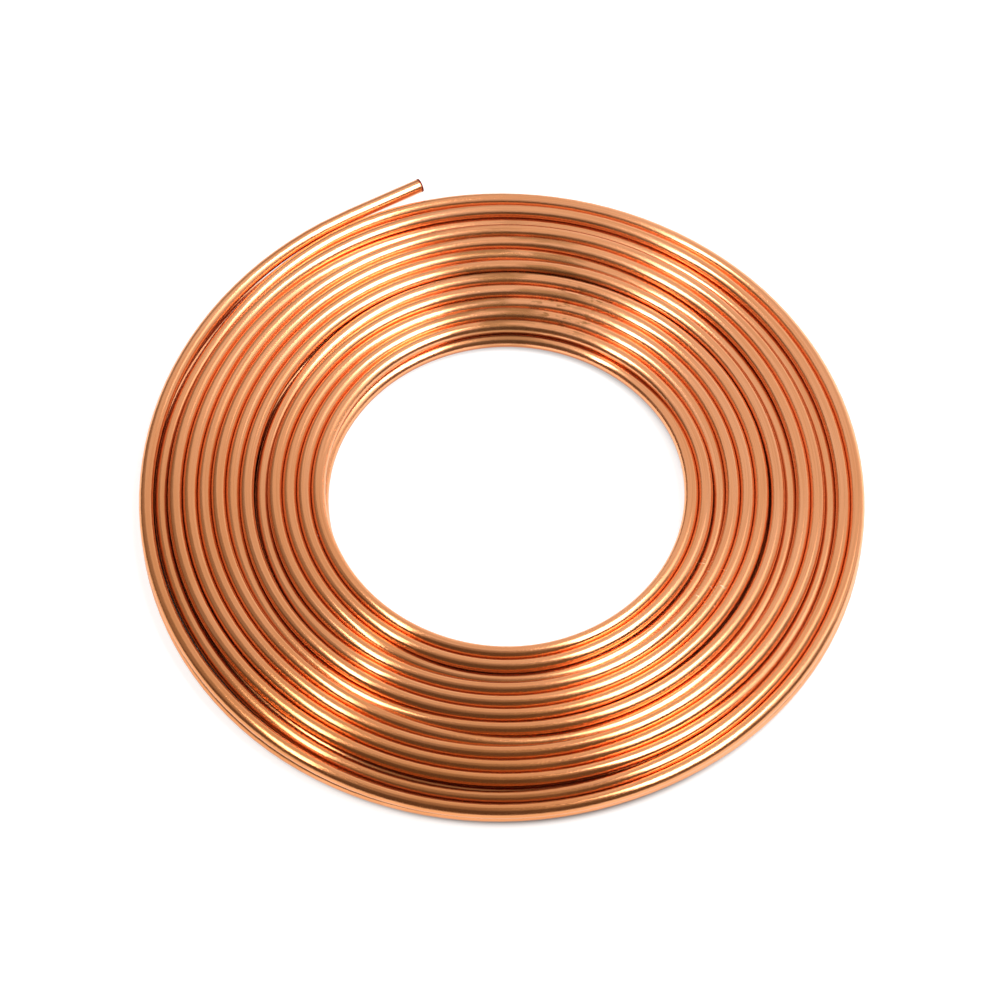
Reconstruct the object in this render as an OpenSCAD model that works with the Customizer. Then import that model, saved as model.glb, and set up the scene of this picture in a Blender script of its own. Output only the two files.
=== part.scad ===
// Coil of soft copper tube, wound close in two layers round an open eye.
// Lies flat on the floor, the middle of the eye at the origin, +Z up.
// The winding is drawn as one turned ring whose ribs are the turns.

/* [Tube] */
// Outside diameter of the tube, mm
tube_d = 6.35; // [4:0.05:16]
// Wall thickness of the tube, mm
tube_wall = 0.76; // [0.4:0.01:1.6]

/* [Winding] */
// Width of the open eye, mm
eye_d = 152; // [60:1:500]
// Turns side by side in each layer
turns = 12; // [4:1:20]
// Gap between neighbouring turns, mm
turn_gap = 0.35; // [0.1:0.05:2]
// How far the lower layer sits nearer the eye, mm
lower_shift = 1.4; // [0.8:0.1:3]
// Half height of the solid left between neighbouring turns, mm
groove_floor = 1.2; // [0.5:0.1:2.5]

/* [Free end] */
// How much wider than the outer turn the free end is bent, mm
end_spring = 8; // [6:0.5:60]
// Direction round the eye where the free end leaves the outer turn, degrees
end_leave = 195; // [180:1:260]
// Direction round its own bend where the free end runs out straight, degrees
end_straight_at = 118; // [90:1:150]
// Length of the straight run at the tip, mm
end_straight = 36; // [8:1:60]
// Depth the passage is opened at the cut end, mm
passage_depth = 14; // [4:1:50]

/* [Hidden] */
$fn = 160;
copper = [0.85, 0.5, 0.34];

// the turns are a hair fuller than the tube, so the free end can start inside the outer one
rib_extra = 0.02;
rib_d = tube_d + rib_extra;
start_inside = 1;

// middles of the turns, seen in a cut through one side of the coil
pitch = tube_d + turn_gap;
lower_z = tube_d / 2;
upper_z = lower_z + tube_d;
inner_r = eye_d / 2 + lower_shift + rib_d / 2;
outer_r = inner_r + (turns - 1) * pitch;
join_step = 0.1;
join_top = groove_floor - join_step;

// middle of the free end's bend
bend_r = outer_r + end_spring;
bend_x = -end_spring * cos(end_leave);
bend_y = -end_spring * sin(end_leave);

// angle over which the free end is still too near for another turn beside it
side_gap = 0.6;
clear_r = outer_r + tube_d + side_gap;
clear_cos = (pow(bend_r, 2) - pow(clear_r, 2) - pow(end_spring, 2)) / (2 * clear_r * end_spring);
lap = acos(max(-1, clear_cos));

// one layer of turns, cut through
module layer(first_r, z, count) {
    for (i = [0 : count - 1])
        translate([first_r + i * pitch, z])
            circle(d = rib_d);
}

// the turns that run right round, with the solid between them
module full_turns() {
    layer(inner_r - lower_shift, lower_z, turns);
    layer(inner_r, upper_z, turns - 1);
    polygon([
        [inner_r - lower_shift, lower_z - groove_floor],
        [outer_r - lower_shift, lower_z - groove_floor],
        [outer_r - pitch, upper_z + groove_floor],
        [inner_r, upper_z + groove_floor]
    ]);
}

// the outer turn of the upper layer, joined to the turns beside and below it
module outer_turn() {
    translate([outer_r, upper_z])
        circle(d = rib_d);
    polygon([
        [outer_r - pitch, lower_z],
        [outer_r - lower_shift, lower_z],
        [outer_r, upper_z + join_top],
        [outer_r - pitch, upper_z + join_top]
    ]);
}

// the outer turn stops short where the free end leaves
module winding() {
    rotate_extrude()
        full_turns();
    rotate([0, 0, end_leave])
        rotate_extrude(angle = 360 - lap)
            outer_turn();
}

// stands at the end of the bend, where the straight tip starts
module at_bend() {
    translate([bend_x, bend_y, upper_z])
        rotate([0, 0, end_straight_at])
            children();
}

module free_end() {
    at_bend() {
        rotate_extrude(angle = end_leave + start_inside - end_straight_at)
            translate([bend_r, 0])
                circle(d = tube_d);
        translate([bend_r, 0, 0])
            rotate([90, 0, 0])
                cylinder(d = tube_d, h = end_straight);
    }
}

// passage of the tube, open at the cut end
cut_past = 1;
module passage() {
    at_bend()
        translate([bend_r, passage_depth - end_straight, 0])
            rotate([90, 0, 0])
                cylinder(d = tube_d - 2 * tube_wall, h = passage_depth + cut_past);
}

module tube_coil() {
    color(copper)
        difference() {
            union() {
                winding();
                free_end();
            }
            passage();
        }
}

tube_coil();
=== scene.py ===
import math

import bpy
import numpy as np
from mathutils import Matrix, Vector


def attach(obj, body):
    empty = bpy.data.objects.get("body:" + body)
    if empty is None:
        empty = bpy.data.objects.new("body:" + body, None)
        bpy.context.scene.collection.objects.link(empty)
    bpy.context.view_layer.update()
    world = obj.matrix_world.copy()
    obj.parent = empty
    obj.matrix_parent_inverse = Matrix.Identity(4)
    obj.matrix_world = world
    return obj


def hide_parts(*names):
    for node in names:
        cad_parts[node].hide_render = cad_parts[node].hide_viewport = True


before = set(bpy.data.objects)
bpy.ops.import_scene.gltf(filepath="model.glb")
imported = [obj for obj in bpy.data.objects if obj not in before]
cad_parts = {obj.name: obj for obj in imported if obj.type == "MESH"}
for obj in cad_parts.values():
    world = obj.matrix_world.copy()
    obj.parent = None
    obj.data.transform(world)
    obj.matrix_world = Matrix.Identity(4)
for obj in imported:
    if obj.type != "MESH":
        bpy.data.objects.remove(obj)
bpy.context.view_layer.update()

# ---------------------------------------------------------------------------
# The viewpoint: a long lens on a stand in front of the coil, looking well down
# on it, so both the flat of the winding and the open eye are seen.
# ---------------------------------------------------------------------------

VIEW_UP = math.radians(59.34)
VIEW_AWAY = 2.137
toward_camera = Vector((0.0, -math.cos(VIEW_UP), math.sin(VIEW_UP)))
sideways = Vector((1.0, 0.0, 0.0))
upward = toward_camera.cross(sideways)
aim = upward * 0.0024 - sideways * 0.0009

lens = bpy.data.cameras.new("long_lens")
lens.lens = 176.5
lens.sensor_width = 36.0
lens.clip_end = 20.0
camera = bpy.data.objects.new("camera", lens)
camera.location = aim + toward_camera * VIEW_AWAY
camera.rotation_euler = (math.pi / 2 - VIEW_UP, 0.0, 0.0)
bpy.context.scene.collection.objects.link(camera)
bpy.context.scene.camera = camera

# ---------------------------------------------------------------------------
# The run of the tube: one length of soft copper tube, wound from the outside of
# the lower layer in to the eye, up, and out again over the top. The soft tube
# keeps each small bend, so no turn is a true circle and some sink between others.
# ---------------------------------------------------------------------------

TUBE_D = 0.00635
RINGS = 120                     # rings of the mesh in one turn
START = 60.0                    # bearing of the lower layer's cut end, degrees
STAND_OFF = 195.0               # bearing where the free end leaves the outer turn
BEND_END = 118.0                # bearing round its own bend where it runs out straight
STRAIGHT = 0.036                # length of the straight run
LEAVES_R = 0.154285 / TUBE_D    # middle of the outer turn it leaves, in tube widths
SPRING = 0.008 / TUBE_D         # how much wider the free end is bent, in tube widths
COUNT_FROM = 178.0              # bearing that the turns are counted from
TURNS = 23
LOWER_TURNS = 9.49
CLIMB_TURNS = 0.8
EYE_R, OUTER_R = 12.72, 24.29   # middles of the inmost and outmost turns, in tube widths
LOWER_R = 23.1                  # the lower layer after its full outer turn, in tube widths
LOW_Z, TOP_Z = 0.5, 1.5         # heights of the two layers' middles, in tube widths
TIP_RINGS = 12                  # rings of the mesh in the straight run


def heading(degrees):
    """Unit direction across the floor at a bearing: cosine, then sine."""
    return np.stack([np.cos(np.radians(degrees)), np.sin(np.radians(degrees))], axis=-1)


bend_middle = -SPRING * heading(STAND_OFF)
bend_radius = LEAVES_R + SPRING
straight_from = bend_middle + bend_radius * heading(BEND_END)
run_out_at = math.degrees(math.atan2(straight_from[1], straight_from[0]))
all_turns = TURNS + (START - run_out_at) / 360.0
ring_turn = np.arange(int(all_turns * RINGS)) / RINGS
bearing = START - 360.0 * ring_turn
turns_in = TURNS + (START - COUNT_FROM) / 360.0 - ring_turn    # counted in from the free end


def eased(value):
    """Smooth step: 0 below 0, 1 above 1, three squares less two cubes between."""
    value = np.clip(value, 0.0, 1.0)
    return value * value * (3.0 - 2.0 * value)


def smooth_along(values, reach):
    """Each ring's value becomes the mean of its neighbours along the tube,
    weighted by a bell curve whose width is the reach, in rings."""
    span = int(3 * reach)
    weight = np.exp(-0.5 * (np.arange(-span, span + 1) / reach) ** 2)
    padded = np.pad(values, span, mode="edge")
    return np.convolve(padded, weight / weight.sum(), mode="valid")


def stretch(count, at, width):
    """1 at one bearing of one turn, fading as a bell curve along the tube.
    The turn is told by its count in from the outside."""
    place = count + ((at - COUNT_FROM) % 360.0) / 360.0
    return np.exp(-0.5 * ((turns_in - place) * 360.0 / width) ** 2)


def wander(luck, reach, amount):
    """A slow seeded drift along the tube, of the given spread."""
    drift = smooth_along(luck.normal(size=len(ring_turn)), reach)
    return amount * drift / drift.std()


climb = eased((ring_turn - LOWER_TURNS) / CLIMB_TURNS)
last_part = (STAND_OFF - COUNT_FROM) / 360.0
eye_edge = EYE_R + 0.42 * np.cos(np.radians(bearing - 45.0))     # the eye is not quite centred
sprung = turns_in <= last_part
luck = np.random.default_rng(11)


def laid_radius():
    """Radius that the winder gives each ring, in tube widths. Lower layer: one
    full outer turn, then an even fall to the eye. Upper layer: an even growth
    about a middle up to three quarters of a width off the eye's own middle.
    Both carry a slow wander, and the free end follows its own wider bend."""
    fall = LOWER_R - (LOWER_R - EYE_R) * (ring_turn - 1.0) / (LOWER_TURNS - 1.0)
    step = eased((ring_turn - 0.72) / 0.3)
    lower = np.maximum((24.12 - 0.15 * ring_turn) * (1.0 - step) + fall * step, eye_edge)
    lean = np.where(turns_in < 6.3, 0.12 + 0.63 * np.sin(np.pi * turns_in / 12.6),
                    0.75 - 0.04 * (turns_in - 6.3))
    upper = 24.57 - 0.9617 * turns_in + lean * np.cos(np.radians(bearing - 50.0))
    upper += 0.3 * stretch(0, 85.0, 35.0) - 0.3 * stretch(0, 312.0, 25.0)
    laid = lower + (np.maximum(upper, eye_edge) - lower) * climb
    laid = np.clip(laid + wander(luck, 16.0, 0.22) * np.clip(turns_in / 0.6, 0.0, 1.0),
                   eye_edge - 0.03, OUTER_R)
    across = heading(bearing) @ bend_middle
    bend = across + np.sqrt(bend_radius ** 2 - bend_middle @ bend_middle + across ** 2)
    return np.where(sprung, bend, laid)


def settled(radius, height, sunk, loose):
    """Lets the rings find their places. Each sweep draws a ring a little towards
    the radius it was laid at and down under its weight, then any two rings of one
    bearing that are nearer than a tube width push each other apart, more up and
    down than sideways. Moves are smoothed along the tube, which never kinks."""
    wish = radius.copy()
    least = LOW_Z + climb * 0.52
    lift = 1.6
    sweeps, calmer_from, finer_from = 500, 350, 400
    for sweep in range(sweeps):
        push_r, push_z = np.zeros_like(radius), np.zeros_like(height)
        for apart in range(1, int(all_turns) + 1):
            lag = apart * RINGS
            gap_r, gap_z = radius[lag:] - radius[:-lag], height[lag:] - height[:-lag]
            gap = np.sqrt(gap_r ** 2 + gap_z ** 2) + 1e-9
            share = 0.5 * np.clip(1.0 - gap, 0.0, None) / gap
            push_r[lag:] += share * gap_r
            push_r[:-lag] -= share * gap_r
            push_z[lag:] += lift * share * gap_z
            push_z[:-lag] -= lift * share * gap_z
        ease = 1.0 if sweep < calmer_from else 0.2
        push_r += (0.004 + 0.096 * climb) * ease * (wish - radius)
        push_z -= 0.004 * ease * (1.0 + 4.0 * sunk)
        reach = 11.0 if sweep < finer_from else 8.0
        radius = radius + smooth_along(push_r, reach) * loose
        height = height + smooth_along(push_z, reach) * loose
        radius = np.where(loose > 0, np.clip(radius, eye_edge - 0.05, OUTER_R), radius)
        height = np.clip(height, least, TOP_Z)
    radius = radius + (smooth_along(radius, 4.0) - radius) * loose
    height = height + (smooth_along(height, 4.0) - height) * loose
    return radius, height


sunk = np.clip(stretch(4, 0.0, 30.0) + stretch(5, 57.0, 26.0) + stretch(7, 0.0, 32.0)
               + stretch(8, 182.0, 30.0) + stretch(9, 240.0, 30.0) + stretch(1, 190.0, 40.0),
               0.0, 1.0)
laid = laid_radius()
start_height = LOW_Z + climb * (0.93 + wander(luck, 16.0, 0.35) - 0.5 * sunk)
start_height = TOP_Z + (start_height - TOP_Z) * eased((turns_in - last_part) / 0.25)
radius, height = settled(laid, start_height, sunk,
                         np.clip((turns_in - last_part) / 0.12, 0.0, 1.0))

path = np.concatenate([radius[:, None] * heading(bearing), height[:, None]], axis=1) * TUBE_D
straight_way = heading(BEND_END - 90.0)
run_out = np.linspace(0.0, STRAIGHT / TUBE_D, TIP_RINGS)[:, None]
tip = np.concatenate([straight_from + run_out * straight_way,
                      np.full((TIP_RINGS, 1), TOP_Z)], axis=1) * TUBE_D
path = np.concatenate([path, tip])

# ---------------------------------------------------------------------------
# The tube itself: drawn copper, a thin wall round an open passage. Both ends are
# cut with a wheel cutter, which rolls the rim in a little and leaves it dull.
# ---------------------------------------------------------------------------

TUBE_WALL = 0.00076
SIDES = 24
OUT_R = 0.00316                 # a hair less than half the tube's width
PASSAGE_R = OUT_R - TUBE_WALL


def tube_mesh(points):
    """One closed skin: rings run out along the outside, over the cut rim, back
    down the passage and over the other rim, and the last ring joins the first.
    The passage has one ring for every three outside."""
    rim_r = np.array([1.0, 1.0, 1.004, 0.99, 0.80, 0.735, 0.745]) * OUT_R
    rim_back = np.array([1.3, 0.9, 0.5, 0.0, 0.0, 0.12, 0.6]) * 0.001
    coarse = np.arange(3, len(points) - 2, 3)
    which = np.concatenate([np.arange(1, len(points) - 1),
                            np.full(len(rim_r), len(points) - 1),
                            coarse[::-1], np.zeros(len(rim_r), int)])
    reach = np.concatenate([np.full(len(points) - 2, OUT_R), rim_r,
                            np.full(len(coarse), PASSAGE_R), rim_r[::-1]])
    offset = np.concatenate([np.zeros(len(points) - 2), -rim_back,
                             np.zeros(len(coarse)), rim_back[::-1]])
    cut = np.concatenate([np.zeros(len(points) - 2), [0, 0.6, 1, 1, 1, 1, 0.8],
                          np.full(len(coarse), 0.5), [0.8, 1, 1, 1, 1, 0.6, 0]])
    steps = np.linalg.norm(np.diff(points, axis=0), axis=1)
    along = np.concatenate([[0.0], np.cumsum(steps)])

    run = np.gradient(points, axis=0)
    run /= np.linalg.norm(run, axis=1)[:, None]
    side = np.cross(run, (0.0, 0.0, 1.0))
    side /= np.linalg.norm(side, axis=1)[:, None]
    rise = np.cross(side, run)
    turn = np.linspace(0.0, 2 * np.pi, SIDES, endpoint=False)
    wheel = np.cos(turn)[None, :, None] * side[which][:, None] \
        + np.sin(turn)[None, :, None] * rise[which][:, None]
    middle = points[which] + run[which] * offset[:, None]
    places = middle[:, None] + reach[:, None, None] * wheel

    rows = len(which)
    ring = np.arange(rows)[:, None]
    spoke = np.arange(SIDES)[None, :]
    after = (ring + 1) % rows
    beside = (spoke + 1) % SIDES
    corners = np.stack([ring * SIDES + spoke, ring * SIDES + beside,
                        after * SIDES + beside, after * SIDES + spoke], axis=-1)

    count = rows * SIDES
    mesh = bpy.data.meshes.new("copper_winding")
    mesh.vertices.add(count)
    mesh.vertices.foreach_set("co", places.astype(np.float32).ravel())
    mesh.loops.add(count * 4)
    mesh.loops.foreach_set("vertex_index", corners.reshape(-1).astype(np.int32))
    mesh.polygons.add(count)
    mesh.polygons.foreach_set("loop_start", np.arange(count, dtype=np.int32) * 4)
    mesh.update(calc_edges=True)
    mesh.polygons.foreach_set("use_smooth", np.ones(count, bool))

    laid_out = np.stack([reach[:, None] * np.cos(turn)[None, :],
                         reach[:, None] * np.sin(turn)[None, :],
                         np.repeat(along[which][:, None], SIDES, axis=1)], axis=-1)
    layer = mesh.attributes.new("laid_out", "FLOAT_VECTOR", "POINT")
    layer.data.foreach_set("vector", laid_out.astype(np.float32).ravel())
    layer = mesh.attributes.new("cut_rim", "FLOAT", "POINT")
    layer.data.foreach_set("value", np.repeat(cut, SIDES).astype(np.float32))
    mesh.validate()
    return mesh


winding = bpy.data.objects.new("copper_winding", tube_mesh(path))
bpy.context.scene.collection.objects.link(winding)
tube_length = np.linalg.norm(np.diff(path, axis=0), axis=1).sum()
print("tube length %.2f m, %d triangles" % (tube_length, 2 * len(winding.data.polygons)))

# ---------------------------------------------------------------------------
# The copper: bright drawn metal with fine lines along the tube and a slow blush
# of colour. It has a painted dark brown reflection on the far side, a few nicks on
# the right, painted shade over the near left and painted shade low between the turns.
# ---------------------------------------------------------------------------

copper = bpy.data.materials.new("drawn_copper")
copper.use_nodes = True
shading = copper.node_tree
nodes, links = shading.nodes, shading.links
shader = nodes["Principled BSDF"]
shader.inputs["Metallic"].default_value = 1.0
shader.inputs["Anisotropic"].default_value = 0.75
shader.inputs["Anisotropic Rotation"].default_value = 0.25

run_of_tube = nodes.new("ShaderNodeAttribute")
run_of_tube.attribute_name = "laid_out"
place = nodes.new("ShaderNodeTexCoord").outputs["Object"]


def grain(where, scale, detail, *, stretch_by=(1.0, 1.0, 1.0)):
    """A soft random pattern, drawn out along the tube when its scales differ."""
    mapping = nodes.new("ShaderNodeMapping")
    mapping.inputs["Scale"].default_value = stretch_by
    links.new(where, mapping.inputs["Vector"])
    noise = nodes.new("ShaderNodeTexNoise")
    noise.inputs["Scale"].default_value = scale
    noise.inputs["Detail"].default_value = detail
    links.new(mapping.outputs["Vector"], noise.inputs["Vector"])
    return noise.outputs["Fac"]


def spread(tree, value, low, high, out_low, out_high):
    """A value eased from one range onto another."""
    node = tree.nodes.new("ShaderNodeMapRange")
    node.interpolation_type = "SMOOTHSTEP"
    for socket, number in zip(("From Min", "From Max", "To Min", "To Max"),
                              (low, high, out_low, out_high)):
        node.inputs[socket].default_value = number
    tree.links.new(value, node.inputs["Value"])
    return node.outputs["Result"]


def sum_of(tree, kind, first, second):
    """Two values added, taken away or multiplied, or the greater or less of them."""
    node = tree.nodes.new("ShaderNodeMath")
    node.operation = kind
    for socket, thing in zip(node.inputs, (first, second)):
        if isinstance(thing, (int, float)):
            socket.default_value = thing
        else:
            tree.links.new(thing, socket)
    return node.outputs[0]


def patch(middle, size):
    """1 at one place on the coil, fading to 0 at its edge."""
    mapping = nodes.new("ShaderNodeMapping")
    mapping.vector_type = "TEXTURE"
    mapping.inputs["Location"].default_value = middle
    mapping.inputs["Scale"].default_value = size
    links.new(place, mapping.inputs["Vector"])
    reach = nodes.new("ShaderNodeVectorMath")
    reach.operation = "LENGTH"
    links.new(mapping.outputs["Vector"], reach.inputs[0])
    return spread(shading, reach.outputs["Value"], 0.45, 1.0, 1.0, 0.0)


def tinted(under, amount, colour):
    """The colour under it, turned towards another by an amount."""
    node = nodes.new("ShaderNodeMix")
    node.data_type = "RGBA"
    links.new(amount, node.inputs[0])
    if isinstance(under, tuple):
        node.inputs[6].default_value = under
    else:
        links.new(under, node.inputs[6])
    node.inputs[7].default_value = colour
    return node.outputs[2]


along_tube = run_of_tube.outputs["Vector"]
blush = spread(shading, grain(along_tube, 1.0, 3.0, stretch_by=(260.0, 260.0, 9.0)),
               0.35, 0.65, 0.0, 1.0)
draw_lines = grain(along_tube, 1.0, 2.0, stretch_by=(1700.0, 1700.0, 20.0))
smears = grain(place, 26.0, 4.0)

apart = nodes.new("ShaderNodeSeparateXYZ")
links.new(place, apart.inputs[0])
near_left = sum_of(shading, "ADD", sum_of(shading, "MULTIPLY", apart.outputs["X"], -0.5),
                   sum_of(shading, "MULTIPLY", apart.outputs["Y"], -0.86))
# Painted shade: the near left of the coil is darkened by its place, broken into patches by the
# smear noise.
near_left_painted_shade = sum_of(shading, "MULTIPLY", spread(shading, near_left, -0.02, 0.16, 0.0, 0.85),
                spread(shading, smears, 0.3, 0.6, 0.55, 1.0))
# Painted reflection: dark brown patches on the far side stand for the reflection of a dark
# thing, painted into the colour.
far_dark_reflection = sum_of(shading, "MULTIPLY", patch((0.004, 0.108, 0.01), (0.055, 0.045, 0.2)),
              spread(shading, grain(along_tube, 1.0, 3.0, stretch_by=(230.0, 230.0, 26.0)),
                     0.49, 0.62, 0.0, 0.75))
small_dark_reflection = sum_of(shading, "MULTIPLY", patch((0.031, 0.094, 0.01), (0.026, 0.018, 0.1)),
               spread(shading, grain(along_tube, 1.0, 3.0, stretch_by=(520.0, 520.0, 190.0)),
                      0.52, 0.62, 0.0, 0.8))
nicks = sum_of(shading, "MULTIPLY", patch((0.0895, -0.0448, 0.012), (0.012, 0.018, 0.05)),
               spread(shading, grain(along_tube, 1.0, 1.0, stretch_by=(260.0, 260.0, 900.0)),
                      0.66, 0.72, 0.0, 0.6))

around = nodes.new("ShaderNodeSeparateXYZ")
links.new(along_tube, around.inputs[0])
# Painted shade: the lower half of each tube, low down between the turns, is darkened where
# shade falls. It is left off the outer turn at the near left and off the free end.
flank = spread(shading, around.outputs["Y"], -0.0004, 0.0013, 0.85, 0.0)
out_from_eye = nodes.new("ShaderNodeVectorMath")
out_from_eye.operation = "LENGTH"
links.new(place, out_from_eye.inputs[0])
open_side = sum_of(shading, "MULTIPLY",
                   spread(shading, out_from_eye.outputs["Value"], 0.1505, 0.1540, 0.0, 1.0),
                   spread(shading, near_left, -0.02, 0.05, 0.0, 1.0))
stands_clear = spread(shading, out_from_eye.outputs["Value"], 0.1555, 0.1585, 0.0, 1.0)
shade_left_off = sum_of(shading, "MAXIMUM", open_side, stands_clear)
painted_crevice_shade = sum_of(shading, "MULTIPLY", flank, sum_of(shading, "SUBTRACT", 1.0, shade_left_off))

rim = nodes.new("ShaderNodeAttribute")
rim.attribute_name = "cut_rim"

painted_dark_reflection = sum_of(shading, "MAXIMUM", far_dark_reflection, small_dark_reflection)
colour = tinted((0.95, 0.455, 0.24, 1.0), sum_of(shading, "MULTIPLY", blush, 0.6),
                (0.90, 0.39, 0.175, 1.0))
colour = tinted(colour, spread(shading, draw_lines, 0.42, 0.68, 0.0, 0.45),
                (0.76, 0.31, 0.125, 1.0))
# Painted shade over the near left.
colour = tinted(colour, near_left_painted_shade, (0.74, 0.30, 0.11, 1.0))
# Painted dark reflection on the far side.
colour = tinted(colour, painted_dark_reflection, (0.36, 0.155, 0.05, 1.0))
# Painted shade low down between the turns.
colour = tinted(colour, painted_crevice_shade, (0.40, 0.115, 0.035, 1.0))
colour = tinted(colour, nicks, (0.98, 0.66, 0.46, 1.0))
colour = tinted(colour, rim.outputs["Fac"], (0.20, 0.015, 0.012, 1.0))
links.new(colour, shader.inputs["Base Color"])

torn = sum_of(shading, "MAXIMUM", nicks, rim.outputs["Fac"])
rough = spread(shading, smears, 0.3, 0.7, 0.13, 0.20)
for mark, amount in ((draw_lines, 0.06), (painted_dark_reflection, 0.12), (torn, 0.3)):
    rough = sum_of(shading, "ADD", rough, sum_of(shading, "MULTIPLY", mark, amount))
links.new(rough, shader.inputs["Roughness"])

lines_felt = nodes.new("ShaderNodeBump")
lines_felt.inputs["Strength"].default_value = 0.5
lines_felt.inputs["Distance"].default_value = 0.00004
links.new(sum_of(shading, "SUBTRACT", draw_lines, nicks), lines_felt.inputs["Height"])
links.new(lines_felt.outputs["Normal"], shader.inputs["Normal"])

winding.data.materials.append(copper)
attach(winding, "root")
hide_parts("tube_coil")

# ---------------------------------------------------------------------------
# The studio: a pale bench top lit softly from below, one long lamp box high on each
# side, a soft sheet of light close over the far half, and a tent of pale cloth that
# is dark at the front and low down on the left.
# ---------------------------------------------------------------------------

bench = bpy.data.meshes.new("bench_top")
bench.from_pydata([(-4, -4, 0), (4, -4, 0), (4, 4, 0), (-4, 4, 0)], [], [(0, 1, 2, 3)])
floor = bpy.data.objects.new("bench_top", bench)
bpy.context.scene.collection.objects.link(floor)
pale = bpy.data.materials.new("pale_bench")
pale.use_nodes = True
bench_shading = pale.node_tree
pale_shader = bench_shading.nodes["Principled BSDF"]
pale_shader.inputs["Base Color"].default_value = (0.45, 0.45, 0.45, 1.0)
pale_shader.inputs["Roughness"].default_value = 0.9
pale_shader.inputs["Specular IOR Level"].default_value = 0.1
pale_shader.inputs["Emission Color"].default_value = (1.0, 1.0, 1.0, 1.0)
from_middle = bench_shading.nodes.new("ShaderNodeVectorMath")
from_middle.operation = "LENGTH"
bench_place = bench_shading.nodes.new("ShaderNodeTexCoord").outputs["Object"]
bench_shading.links.new(bench_place, from_middle.inputs[0])
# The bench glows so that it reads evenly white, but not in the ring under the coil. There the
# unlit bench stands as a painted shadow.
in_eye = spread(bench_shading, from_middle.outputs["Value"], 0.079, 0.086, 0.75, 0.0)
outside = spread(bench_shading, from_middle.outputs["Value"], 0.1530, 0.1575, 0.0, 0.75)
clear_of_coil = sum_of(bench_shading, "MAXIMUM", in_eye, outside)
bench_shading.links.new(clear_of_coil, pale_shader.inputs["Emission Strength"])
bench.materials.append(pale)


def lamp_box(name, place, size, glow, turned=0.0):
    """A flat lamp of a width and length at a place. Its glow is its brightness, and
    its length lies along the bearing it is turned to."""
    lamp = bpy.data.lights.new(name, "AREA")
    lamp.shape = "RECTANGLE"
    lamp.size, lamp.size_y = size
    lamp.energy = glow * math.pi * size[0] * size[1]
    back = Vector(place).normalized()
    length = Vector((math.cos(math.radians(turned)), math.sin(math.radians(turned)), 0.0))
    length = (length - back * length.dot(back)).normalized()
    width = length.cross(back)
    holder = bpy.data.objects.new(name, lamp)
    facing = Matrix((width, length, back)).transposed().to_4x4()
    holder.matrix_world = Matrix.Translation(place) @ facing
    bpy.context.scene.collection.objects.link(holder)


lamp_box("left_box", (-0.66, -0.13, 1.42), (0.14, 1.1), 11.0, turned=55.0)
lamp_box("right_box", (0.58, -0.14, 1.46), (0.42, 1.1), 11.0, turned=120.0)
lamp_box("right_cloth", (0.75, 0.05, 1.4), (1.0, 1.1), 0.9, turned=120.0)
lamp_box("far_sheet", (0.05, 0.09, 0.12), (0.62, 0.32), 0.45, turned=90.0)

tent = bpy.data.worlds.new("pale_tent")
bpy.context.scene.world = tent
tent.use_nodes = True
weave = tent.node_tree
web, join = weave.nodes, weave.links
toward = web.new("ShaderNodeTexCoord")
parts = web.new("ShaderNodeSeparateXYZ")
join.new(toward.outputs["Generated"], parts.inputs[0])

to_right, to_back, to_top = parts.outputs["X"], parts.outputs["Y"], parts.outputs["Z"]
lean_back = sum_of(weave, "ADD", sum_of(weave, "MULTIPLY", to_right, 0.35),
                   sum_of(weave, "MULTIPLY", to_back, 0.9))
skirt = spread(weave, lean_back, 0.1, 1.3, 0.13, 0.85)
front_drop = sum_of(weave, "MULTIPLY", sum_of(weave, "MINIMUM", to_back, 0.0), 1.9)
roof = spread(weave, sum_of(weave, "ADD", to_top, front_drop), 0.12, 0.52, 0.0, 1.0)
roof_glow = spread(weave, to_right, -0.6, 0.6, 0.38, 0.33)
below_roof = sum_of(weave, "SUBTRACT", 1.0, roof)
glow = sum_of(weave, "ADD", sum_of(weave, "MULTIPLY", skirt, below_roof),
              sum_of(weave, "MULTIPLY", roof, roof_glow))
cloth = web.new("ShaderNodeValToRGB")
cloth.color_ramp.elements[0].color = (1.0, 0.62, 0.32, 1.0)
cloth.color_ramp.elements[1].position = 0.6
cloth.color_ramp.elements[1].color = (1.0, 0.98, 0.95, 1.0)
join.new(glow, cloth.inputs["Fac"])
join.new(cloth.outputs["Color"], web["Background"].inputs["Color"])
join.new(glow, web["Background"].inputs["Strength"])
bpy.context.scene.view_settings.view_transform = "Standard"
